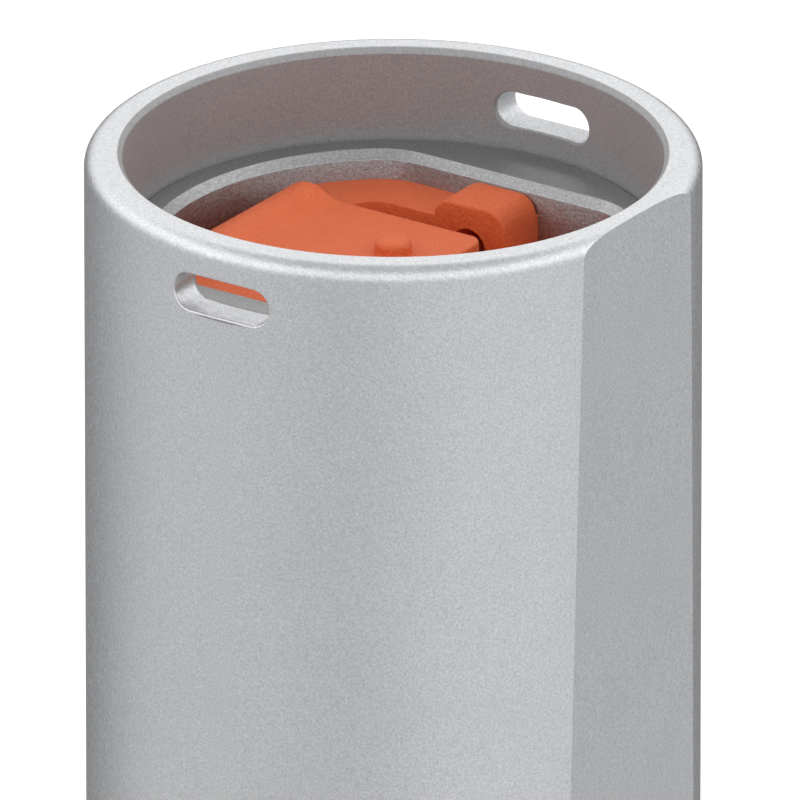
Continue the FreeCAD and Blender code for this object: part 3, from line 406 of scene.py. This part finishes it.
TUBE_METAL = blasted_aluminium("blasted_tube", (0.60, 0.61, 0.62), (0.84, 0.85, 0.87), 0.37,
                               0.030 * MM, shaded_hollows=True)
# The cup is the tube's blasted aluminium in darker colours: painted shade for its place down in the
# post's top
SHADED_CUP_METAL = blasted_aluminium("blasted_cup_painted_shade", (0.31, 0.31, 0.315), (0.51, 0.51, 0.52), 0.40,
                              0.034 * MM, shaded_hollows=False)
MATERIALS = {
    "blasted_aluminium": TUBE_METAL,
    "orange_coating": orange_coat(),
    "galvanised_steel": galvanised_steel(),
    "cast_frame": cast_iron_coating(),
    "collar_steel": turned_steel("turned_collar", (0.66, 0.67, 0.68), 0.30),
    "fastener_steel": zinc_fastener(),
    "black_rubber": moulded("black_rubber", (0.012, 0.012, 0.013), (0.035, 0.034, 0.033),
                            0.72, 0.5 * MM),
    "guide_plastic": moulded("guide_plastic", (0.62, 0.60, 0.54), (0.74, 0.72, 0.66),
                             0.45, 0.8 * MM),
    "spring_black": moulded("spring_black", (0.010, 0.010, 0.012), (0.025, 0.025, 0.028),
                            0.33, 0.4 * MM),
    "rod_chrome": chrome_rod(),
    "machined_steel": machined_steel(),
}
WELD = weld_metal()


# Mesh helpers

def piece_from(bm, name, body, material, smooth_angle=32.0):
    """Makes an object of the mesh, smooth but for its sharp edges, and lets it ride on a body."""
    bmesh.ops.recalc_face_normals(bm, faces=bm.faces)
    mesh = bpy.data.meshes.new(name)
    bm.to_mesh(mesh)
    bm.free()
    if "custom_normal" in mesh.attributes:
        mesh.attributes.remove(mesh.attributes["custom_normal"])
    mesh.shade_smooth()
    mesh.set_sharp_from_angle(angle=math.radians(smooth_angle))
    piece = bpy.data.objects.new(name, mesh)
    bpy.context.scene.collection.objects.link(piece)
    mesh.materials.clear()
    mesh.materials.append(material)
    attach(piece, body)
    return piece


def bridge_rings(bm, rings, closed=False):
    """Joins rings of the same number of points with quads."""
    loops = [[bm.verts.new(point) for point in ring] for ring in rings]
    pairs = list(zip(loops, loops[1:]))
    if closed:
        pairs.append((loops[-1], loops[0]))
    count = len(rings[0])
    for low, high in pairs:
        for k in range(count):
            after = (k + 1) % count
            bm.faces.new((low[k], low[after], high[after], high[k]))
    return loops


def circle(radius, z, count=TUBE_SEGMENTS, x=0.0):
    steps = [2 * math.pi * k / count for k in range(count)]
    return [Vector((x + radius * math.cos(a), radius * math.sin(a), z)) for a in steps]


def arc_points(centre, radius, start, end, count):
    """Points (r, z) on an arc from angle start to angle end, in degrees."""
    angles = [math.radians(start + (end - start) * k / (count - 1)) for k in range(count)]
    return [(centre[0] + radius * math.cos(a), centre[1] + radius * math.sin(a)) for a in angles]


def cut_away(bm, cutters):
    """Takes the cutters, each a bmesh, away from the mesh with exact booleans."""
    scene = bpy.context.scene.collection.objects
    mesh = bpy.data.meshes.new("work")
    bm.to_mesh(mesh)
    bm.free()
    work = bpy.data.objects.new("work", mesh)
    scene.link(work)
    helpers = []
    for cutter in cutters:
        bmesh.ops.recalc_face_normals(cutter, faces=cutter.faces)
        cutter_mesh = bpy.data.meshes.new("cutter")
        cutter.to_mesh(cutter_mesh)
        cutter.free()
        helper = bpy.data.objects.new("cutter", cutter_mesh)
        scene.link(helper)
        helpers.append(helper)
        modifier = work.modifiers.new("cut", "BOOLEAN")
        modifier.operation = "DIFFERENCE"
        modifier.solver = "EXACT"
        modifier.object = helper
    bpy.context.view_layer.update()
    result = bmesh.new()
    result.from_object(work, bpy.context.evaluated_depsgraph_get())
    for helper in helpers + [work]:
        data = helper.data
        bpy.data.objects.remove(helper)
        bpy.data.meshes.remove(data)
    return result


def box_mesh(low, high):
    bm = bmesh.new()
    size = Vector(high) - Vector(low)
    middle = (Vector(high) + Vector(low)) / 2
    place = Matrix.Translation(middle) @ Matrix.Diagonal((*size, 1))
    bmesh.ops.create_cube(bm, size=1.0, matrix=place)
    return bm


def capped(rings):
    """A closed solid through the rings."""
    bm = bmesh.new()
    loops = bridge_rings(bm, rings)
    caps = [bm.faces.new(loops[0]), bm.faces.new(loops[-1])]
    bmesh.ops.triangulate(bm, faces=caps)
    return bm


def softened(node, name, body, material, width):
    """A copy of a CAD node with its sharp edges rounded off; it stands for the node."""
    bm = bmesh.new()
    bm.from_mesh(frame["nodes"][node].data)
    bmesh.ops.remove_doubles(bm, verts=bm.verts, dist=0.002 * MM)
    bmesh.ops.dissolve_limit(bm, angle_limit=math.radians(0.3), verts=bm.verts, edges=bm.edges)
    crease = math.radians(38.0)
    sharp = [e for e in bm.edges if e.is_manifold and e.calc_face_angle(0) > crease]
    bmesh.ops.bevel(bm, geom=sharp, offset=width, offset_type="OFFSET", segments=3,
                    profile=0.5, affect="EDGES", clamp_overlap=True)
    piece = piece_from(bm, name, body, material)
    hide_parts(node)
    return piece


# Post tube

def post_profile():
    """(radius, z) points of the tube's section, from the outer foot over the rim to the inner foot."""
    rows = [POST_FOOT_Z, POST_FOOT_Z + 30 * MM, POST_FOOT_Z + 60 * MM, POST_FOOT_Z + 90 * MM]
    rows += [RIM_Z - drop * MM for drop in range(600, 20, -20)]
    rows += [RIM_Z - drop * MM for drop in (18, 16, 14, 12, 10, 8, 6, 4.5)]
    outer = [(POST_RADIUS, z) for z in rows]
    rounding = arc_points((POST_RADIUS - RIM_ROUNDING, RIM_Z - RIM_ROUNDING), RIM_ROUNDING, 0, 90, 19)
    soft = EDGE_SOFTNESS
    chamfer = [(BORE + RIM_CHAMFER + soft, RIM_Z), (BORE + RIM_CHAMFER - soft * 0.7, RIM_Z - soft * 0.7),
               (BORE + soft * 0.7, RIM_Z - RIM_CHAMFER + soft * 0.7), (BORE, RIM_Z - RIM_CHAMFER - soft)]
    inner = [(BORE, z) for z in reversed(rows[:-1])]
    return outer + rounding + chamfer + inner


def flat_cutter():
    """What the flat takes off: its face leans in, then runs straight down."""
    lean = (FLAT_AT_RIM - FLAT_BELOW) / FLAT_TAPER_LENGTH
    outside = POST_RADIUS + 5 * MM
    over = CUT_MARGIN
    outline = [(FLAT_AT_RIM + lean * over, RIM_Z + over), (FLAT_BELOW, RIM_Z - FLAT_TAPER_LENGTH),
               (FLAT_BELOW, POST_FOOT_Z - over), (outside, POST_FOOT_Z - over), (outside, RIM_Z + over)]
    half = POST_RADIUS
    return capped([[Vector((x, y, z)) for x, z in outline] for y in (-half, half)])


def slot_outline(grow):
    """(x, z) points round the lifting slot, grown outwards."""
    count = 24
    radius = SLOT_END_RADIUS + grow
    reach = SLOT_HALF - SLOT_END_RADIUS
    points = []
    for side, start in ((1, -90), (-1, 90)):
        for k in range(count):
            a = math.radians(start + 180 * k / (count - 1))
            points.append((side * reach + radius * math.cos(a), SLOT_Z + radius * math.sin(a)))
    return points


def slot_cutter(side):
    """The slot with rounded mouths: it widens where it meets the tube's outer and inner faces."""
    beyond = 0.6 * MM
    levels = [(-beyond, SLOT_EDGE * 1.6)]
    steps = 8
    for k in range(steps + 1):
        a = math.pi / 2 * k / steps
        levels.append((SLOT_EDGE * (1 - math.cos(a)), SLOT_EDGE * (1 - math.sin(a))))
    inner_edge = SLOT_EDGE * 0.6
    levels += [(WALL - inner_edge, 0), (WALL - inner_edge * 0.3, inner_edge * 0.3),
               (WALL, inner_edge), (WALL + beyond, inner_edge * 1.8)]
    return capped([[Vector((x, side * (math.sqrt(POST_RADIUS ** 2 - x * x) - depth), z))
                    for x, z in slot_outline(grow)] for depth, grow in levels])


def radial_hole(angle, z, radius):
    direction = Vector((math.cos(angle), math.sin(angle), 0))
    across = Vector((-direction.y, direction.x, 0))
    count = 24
    rings = []
    for reach in (BORE - 2 * MM, POST_RADIUS + 2 * MM):
        centre = direction * reach + Vector((0, 0, z))
        rings.append([centre + across * (radius * math.cos(a)) + Vector((0, 0, radius * math.sin(a)))
                      for a in [2 * math.pi * k / count for k in range(count)]])
    return capped(rings)


def post_shell():
    """The tube with its flat, lifting slots, bolt windows and screw holes."""
    bm = bmesh.new()
    bridge_rings(bm, [circle(radius, z) for radius, z in post_profile()], closed=True)
    reach = POST_RADIUS + 2 * MM
    gap = BOLT_WINDOW_GAP
    window_low = (BOLT_LOW.x - gap, -reach, BOLT_LOW.z - gap)
    window_high = (BOLT_HIGH.x + gap, reach, BOLT_HIGH.z + gap)
    cutters = [flat_cutter(), slot_cutter(1), slot_cutter(-1), box_mesh(window_low, window_high)]
    screw_z = LATCH_SCREW_LOW_Z + LATCH_SCREW_RADIUS
    for angle in LATCH_SCREW_ANGLES:
        cutters.append(radial_hole(math.radians(angle), screw_z, LATCH_SCREW_HOLE))
    piece = piece_from(cut_away(bm, cutters), "post_shell", "post", TUBE_METAL, TUBE_SMOOTH_ANGLE)
    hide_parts("post_tube")


# Head plate

def pocket_reach(angle, inset):
    """How far the pocket's wall is from the axis at an angle: a circle, a chord and a blend between."""
    radius = POCKET_RADIUS - inset
    corner = POCKET_CORNER - inset
    chord = (POCKET_REAR if math.sin(angle) > 0 else POCKET_FRONT) - inset
    centre_y = chord - corner
    centre_x = math.sqrt((radius - corner) ** 2 - centre_y ** 2)
    folded = math.asin(abs(math.sin(angle)))
    if folded <= math.atan2(centre_y, centre_x):
        return radius
    if folded >= math.atan2(chord, centre_x):
        return chord / math.sin(folded)
    along = centre_x * math.cos(folded) + centre_y * math.sin(folded)
    return along + math.sqrt(along ** 2 - centre_x ** 2 - centre_y ** 2 + corner ** 2)


def cup_angles():
    return [2 * math.pi * (k + 0.5) / TUBE_SEGMENTS for k in range(TUBE_SEGMENTS)]


def pocket_ring(inset, z):
    ring = []
    for a in cup_angles():
        reach = pocket_reach(a, inset)
        ring.append(Vector((reach * math.cos(a), reach * math.sin(a), z)))
    return ring


def outer_ring(inset, z):
    radius = CUP_RADIUS - inset
    return [Vector((radius * math.cos(a), radius * math.sin(a), z)) for a in cup_angles()]


def head_cup():
    """The cup in the post's top, with a soft edge round the rim of its bevelled pocket."""
    soft = EDGE_SOFTNESS
    top = HEAD_TOP_Z
    rings = [outer_ring(CUP_FOOT_INSET, CUP_BOTTOM_Z), outer_ring(CUP_EDGE, CUP_BOTTOM_Z),
             outer_ring(0, CUP_BOTTOM_Z + CUP_EDGE), outer_ring(0, top - CUP_EDGE),
             outer_ring(CUP_EDGE, top)]
    rings += [pocket_ring(-BEVEL - soft, top), pocket_ring(-BEVEL, top - soft * 0.3),
              pocket_ring(-BEVEL + soft * 0.7, top - soft),
              pocket_ring(-soft * 0.7, top - BEVEL + soft * 0.3),
              pocket_ring(0, top - BEVEL - soft * 0.3),
              pocket_ring(POCKET_OVERLAP, top - BEVEL - soft),
              pocket_ring(POCKET_OVERLAP, TRAY_BOTTOM_Z)]
    bm = bmesh.new()
    loops = bridge_rings(bm, rings)
    bm.faces.new(loops[0])
    bm.faces.new(loops[-1])
    levels = (CUP_BOTTOM_Z - CUT_MARGIN, TRAY_BOTTOM_Z + CUT_MARGIN)
    holes = [capped([circle(SHAFT_HOLE, z, 48) for z in levels])]
    for side in SIDES:
        holes.append(capped([circle(DRAIN_HOLE, z, 24, side * DRAIN_X) for z in levels]))
    piece = piece_from(cut_away(bm, holes), "head_cup", "post", SHADED_CUP_METAL)
    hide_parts("head_plate")


# Lock flap and stud

def flap_outline(end_x, inset):
    """(x, z) points of the flap's side, drawn in by inset: plate, blend, hump and hinge barrel."""
    blend_z = FLAP_TOP_Z + BLEND_RADIUS
    rise = blend_z - HUMP_Z
    blend_x = HINGE_X + math.sqrt((BARREL_RADIUS + BLEND_RADIUS) ** 2 - rise ** 2)
    lean = math.degrees(math.atan2(rise, blend_x - HINGE_X))
    edge = FLAP_EDGE + FLAP_EDGE_SPARE
    round_x = end_x - edge
    barrel = BARREL_RADIUS - inset
    points = arc_points((round_x, FLAP_BOTTOM_Z + edge), edge - inset, -90, 0, 6)
    points += arc_points((round_x, FLAP_TOP_Z - edge), edge - inset, 0, 90, 6)
    points += arc_points((blend_x, blend_z), BLEND_RADIUS + inset, -90, lean - 180, 16)
    points += arc_points((HINGE_X, HUMP_Z), barrel, lean, 180, 24)[1:]
    points += arc_points((HINGE_X, HINGE_Z), barrel, 180, 360, 32)
    points.append((HINGE_X + barrel, FLAP_BOTTOM_Z + inset))
    return points


def flap_sections():
    """(y, end x, inset) of the flap's sections, with its sides and its end corners rounded."""
    half = FLAP_HIGH.y
    steps = 8
    rows = []
    for k in range(steps + 1):
        a = math.pi / 2 * k / steps
        y = half - FLAP_CORNER * (1 - math.sin(a))
        over = max(0.0, y - (half - FLAP_EDGE)) / FLAP_EDGE
        inset = FLAP_EDGE * (1 - math.sqrt(1 - min(over, 1.0) ** 2))
        rows.append((y, FLAP_HIGH.x - FLAP_CORNER * (1 - math.cos(a)), inset))
    return [(-y, end_x, inset) for y, end_x, inset in reversed(rows)] + rows


def bar_mesh(radius, low, high):
    """A round bar from one point to another, which lie along Y or Z."""
    count = 32
    along = (high - low).normalized()
    side = Vector((1, 0, 0))
    up = along.cross(side)
    steps = [2 * math.pi * k / count for k in range(count)]
    return capped([[end + side * (radius * math.cos(a)) + up * (radius * math.sin(a)) for a in steps]
                   for end in (low, high)])


def flap_leaf():
    rings = [[Vector((x, y, z)) for x, z in flap_outline(end_x, inset)]
             for y, end_x, inset in flap_sections()]
    over = FLAP_HIGH.y + CUT_MARGIN
    pin_hole = bar_mesh(HINGE_PIN_HOLE, Vector((HINGE_X, -over, HINGE_Z)),
                        Vector((HINGE_X, over, HINGE_Z)))
    stud_hole = bar_mesh(STUD_SHANK, Vector((0, 0, FLAP_BOTTOM_Z - CUT_MARGIN)),
                         Vector((0, 0, FLAP_TOP_Z + CUT_MARGIN)))
    bm = cut_away(capped(rings), [pin_hole, stud_hole])
    piece = piece_from(bm, "flap_leaf", "flap", MATERIALS["orange_coating"])
    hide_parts("lock_flap")


def stud_dome():
    """The knob with its rivet under the flap, turned about the axis."""
    radius = STUD_HIGH.x
    top = STUD_HIGH.z
    crown = STUD_CROWN
    corner_centre = (radius - STUD_CORNER, top - crown - STUD_CORNER)
    profile = [(0.3 * MM, STUD_LOW.z), (radius - STUD_EDGE, STUD_LOW.z),
               (radius, STUD_LOW.z + STUD_EDGE), (radius, FLAP_BOTTOM_Z),
               (STUD_SHANK, FLAP_BOTTOM_Z), (STUD_SHANK, FLAP_TOP_Z - STUD_SINK),
               (radius + STUD_EDGE, FLAP_TOP_Z - STUD_SINK),
               (radius + 0.05 * MM, FLAP_TOP_Z + 0.1 * MM), (radius, FLAP_TOP_Z + 0.25 * MM)]
    profile += arc_points(corner_centre, STUD_CORNER, 0, 80, 10)
    profile += [(radius * 0.4, top - crown * 0.25), (radius * 0.2, top - crown * 0.06),
                (0.1 * MM, top)]
    bm = capped([circle(r, z, 64) for r, z in profile])
    piece = piece_from(bm, "stud_dome", "flap", MATERIALS["orange_coating"])
    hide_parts("flap_stud")


# Welds on the casing

def weld_bead(name, path, size, closed):
    """A rippled bead of weld on the casing along a path of points."""
    bm = bmesh.new()
    count = len(path)
    around = [2 * math.pi * k / WELD_SIDES for k in range(WELD_SIDES)]
    rings = []
    for k, point in enumerate(path):
        before = path[(k - 1) % count] if closed or k > 0 else point
        after = path[(k + 1) % count] if closed or k < count - 1 else point
        along = (after - before).normalized()
        up = Vector((0, 0, 1)) if abs(along.z) < 0.9 else Vector((1, 0, 0))
        across = along.cross(up).normalized()
        up = across.cross(along).normalized()
        ripple = size * (1.0 + 0.10 * math.sin(k * 2.1) + 0.05 * math.sin(k * 0.7))
        rings.append([point + across * (ripple * math.cos(a)) + up * (ripple * math.sin(a))
                      for a in around])
    loops = bridge_rings(bm, rings, closed)
    if not closed:
        bm.faces.new(loops[0])
        bm.faces.new(loops[-1])
    piece = piece_from(bm, name, "casing", WELD, WELD_SMOOTH_ANGLE)


def straight(start, end):
    count = max(2, int((end - start).length / WELD_STEP))
    return [start.lerp(end, k / (count - 1)) for k in range(count)]


def gusset_welds(turn, label, y):
    """The beads on one side of a gusset: along its foot and up the casing's wall."""
    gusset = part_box("casing_gussets")[1]
    foot_z = PLATE_TOP_Z + BAR_WELD_GAP
    foot = [turn @ Vector((CASING_RADIUS, y, foot_z)), turn @ Vector((gusset.x - 3 * MM, y, foot_z))]
    wall = [turn @ Vector((CASING_RADIUS, y, PLATE_TOP_Z + 4 * MM)),
            turn @ Vector((CASING_RADIUS, y, gusset.z - 2 * MM))]
    weld_bead("weld_gusset_foot_" + label, straight(*foot), SMALL_WELD_SIZE, False)
    weld_bead("weld_gusset_wall_" + label, straight(*wall), SMALL_WELD_SIZE, False)


def anchor_weld(turn, label, z):
    """A bead across an anchor bar, where it meets the casing."""
    steps = 12
    path = []
    for step in range(steps + 1):
        y = -ANCHOR_BAR_HALF + 2 * ANCHOR_BAR_HALF * step / steps
        path.append(turn @ Vector((math.sqrt(CASING_RADIUS ** 2 - y * y) + BAR_WELD_GAP, y, z)))
    weld_bead("weld_anchor_" + label, path, SMALL_WELD_SIZE, False)


def casing_welds():
    for place, z in (("base", PLATE_TOP_Z + TUBE_WELD_GAP), ("frame", FRAME_Z - TUBE_WELD_GAP)):
        path = circle(CASING_RADIUS + TUBE_WELD_GAP, z, TUBE_WELD_POINTS)
        weld_bead("weld_tube_to_" + place, path, WELD_SIZE, True)
    bar_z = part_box("anchor_bars")[0].z
    for k in range(4):
        turn = Matrix.Rotation(math.pi / 2 * k, 4, "Z")
        for side, name in ((-1, "left"), (1, "right")):
            gusset_welds(turn, f"{k}_{name}", side * GUSSET_WELD_Y)
        anchor_weld(turn, f"{k}_under", bar_z)
        anchor_weld(turn, f"{k}_over", bar_z + ANCHOR_BAR_THICKNESS)


# Stage, light and camera

def floor():
    mesh = bpy.data.meshes.new("floor")
    half = 60.0
    corners = [(-half, -half, 0), (half, -half, 0), (half, half, 0), (-half, half, 0)]
    mesh.from_pydata(corners, [], [(0, 1, 2, 3)])
    stage = bpy.data.objects.new("floor", mesh)
    bpy.context.scene.collection.objects.link(stage)
    material, _, shader = new_material("pale_floor", 0.0)
    shader.inputs["Base Color"].default_value = colour(0.93, 0.93, 0.93)
    shader.inputs["Roughness"].default_value = 0.9
    shader.inputs["Emission Color"].default_value = colour(1, 1, 1)
    shader.inputs["Emission Strength"].default_value = 0.30
    mesh.materials.append(material)
    stage.visible_glossy = False
    stage.visible_diffuse = False


def dot_with(tree, direction, axis):
    inputs = {0: direction, 1: tuple(axis)}
    return add(tree, "ShaderNodeVectorMath", inputs, operation="DOT_PRODUCT").outputs["Value"]


def smooth_step(tree, value, low, high, start, end):
    """Goes from low to high as value goes from start to end."""
    inputs = {"Value": value, "From Min": start, "From Max": end, "To Min": low, "To Max": high}
    return add(tree, "ShaderNodeMapRange", inputs, interpolation_type="SMOOTHSTEP").outputs[0]


def world_light():
    """A soft sky, dimmer straight overhead, above a glow from the ground that fades to the back."""
    world = bpy.data.worlds.new("studio")
    bpy.context.scene.world = world
    world.use_nodes = True
    tree = world.node_tree
    background = tree.nodes["Background"]
    direction = add(tree, "ShaderNodeTexCoord").outputs["Generated"]
    height = dot_with(tree, direction, (0, 0, 1))
    towards = dot_with(tree, direction, FRONT)
    aside = dot_with(tree, direction, RIGHT)
    right_quarter = dot_with(tree, direction, (FRONT * 0.67 + RIGHT * 0.74).normalized())
    left_quarter = dot_with(tree, direction, (FRONT * 0.26 - RIGHT * 0.97).normalized())
    fall = scaled(tree, towards, 0.0, 1.0, -0.97, -0.25)
    ground = scaled(tree, calculated(tree, "POWER", fall, GROUND_FALL_POWER), 0.0, GROUND_LEVEL)
    for glow in (smooth_step(tree, right_quarter, 0.0, RIGHT_GLOW, 0.40, 0.90),
                 smooth_step(tree, left_quarter, 0.0, LEFT_GLOW, 0.43, 0.90)):
        ground = calculated(tree, "ADD", ground, glow)
    overhead = smooth_step(tree, height, SKY_LEVEL, OVERHEAD_LEVEL, 0.68, 0.92)
    away_from_middle = calculated(tree, "ABSOLUTE", aside)
    sides = smooth_step(tree, away_from_middle, 0.0, SIDE_GLOW, 0.40, 0.85)
    sky = calculated(tree, "ADD", overhead, sides)
    rise = smooth_step(tree, height, 0.0, 1.0, -0.08, 0.34)
    level = add(tree, "ShaderNodeMix", {0: rise, 2: ground, 3: sky}, data_type="FLOAT").outputs[0]
    seen = add(tree, "ShaderNodeLightPath").outputs["Is Camera Ray"]
    strength = add(tree, "ShaderNodeMix", {0: seen, 2: level, 3: 1.0}, data_type="FLOAT").outputs[0]
    background.inputs["Color"].default_value = colour(1, 1, 1)
    tree.links.new(strength, background.inputs["Strength"])


def camera():
    data = bpy.data.cameras.new("camera")
    data.lens = VIEW_LENS
    data.sensor_width = VIEW_SENSOR
    data.clip_start = 0.1
    data.clip_end = 200.0
    eye = bpy.data.objects.new("camera", data)
    bpy.context.scene.collection.objects.link(eye)
    cos_e, sin_e = math.cos(VIEW_ELEVATION), math.sin(VIEW_ELEVATION)
    backward = FRONT * cos_e + Vector((0, 0, sin_e))
    up = -FRONT * sin_e + Vector((0, 0, cos_e))
    target = Vector((0, 0, RIM_Z)) + RIGHT * VIEW_RIGHT_OF_RIM - up * VIEW_BELOW_RIM
    turn = Matrix((RIGHT, up, backward)).transposed().to_4x4()
    eye.matrix_world = Matrix.Translation(target + backward * VIEW_DISTANCE) @ turn
    bpy.context.scene.camera = eye


# Build

def dress_cad_nodes():
    """Gives each CAD node the material of its slot in the record."""
    slots = {entry["node"]: entry["material_slot"] for entry in frame["record"]["subparts"]}
    for name, node in frame["nodes"].items():
        node.data.materials.clear()
        node.data.materials.append(MATERIALS[slots[name]])


dress_cad_nodes()
post_shell()
head_cup()
tray = softened("lock_tray", "tray_casting", "post", MATERIALS["orange_coating"], TRAY_EDGE)
flap_leaf()
stud_dome()
casing_welds()
floor()
world_light()
camera()
bpy.context.scene.view_settings.view_transform = "Standard"
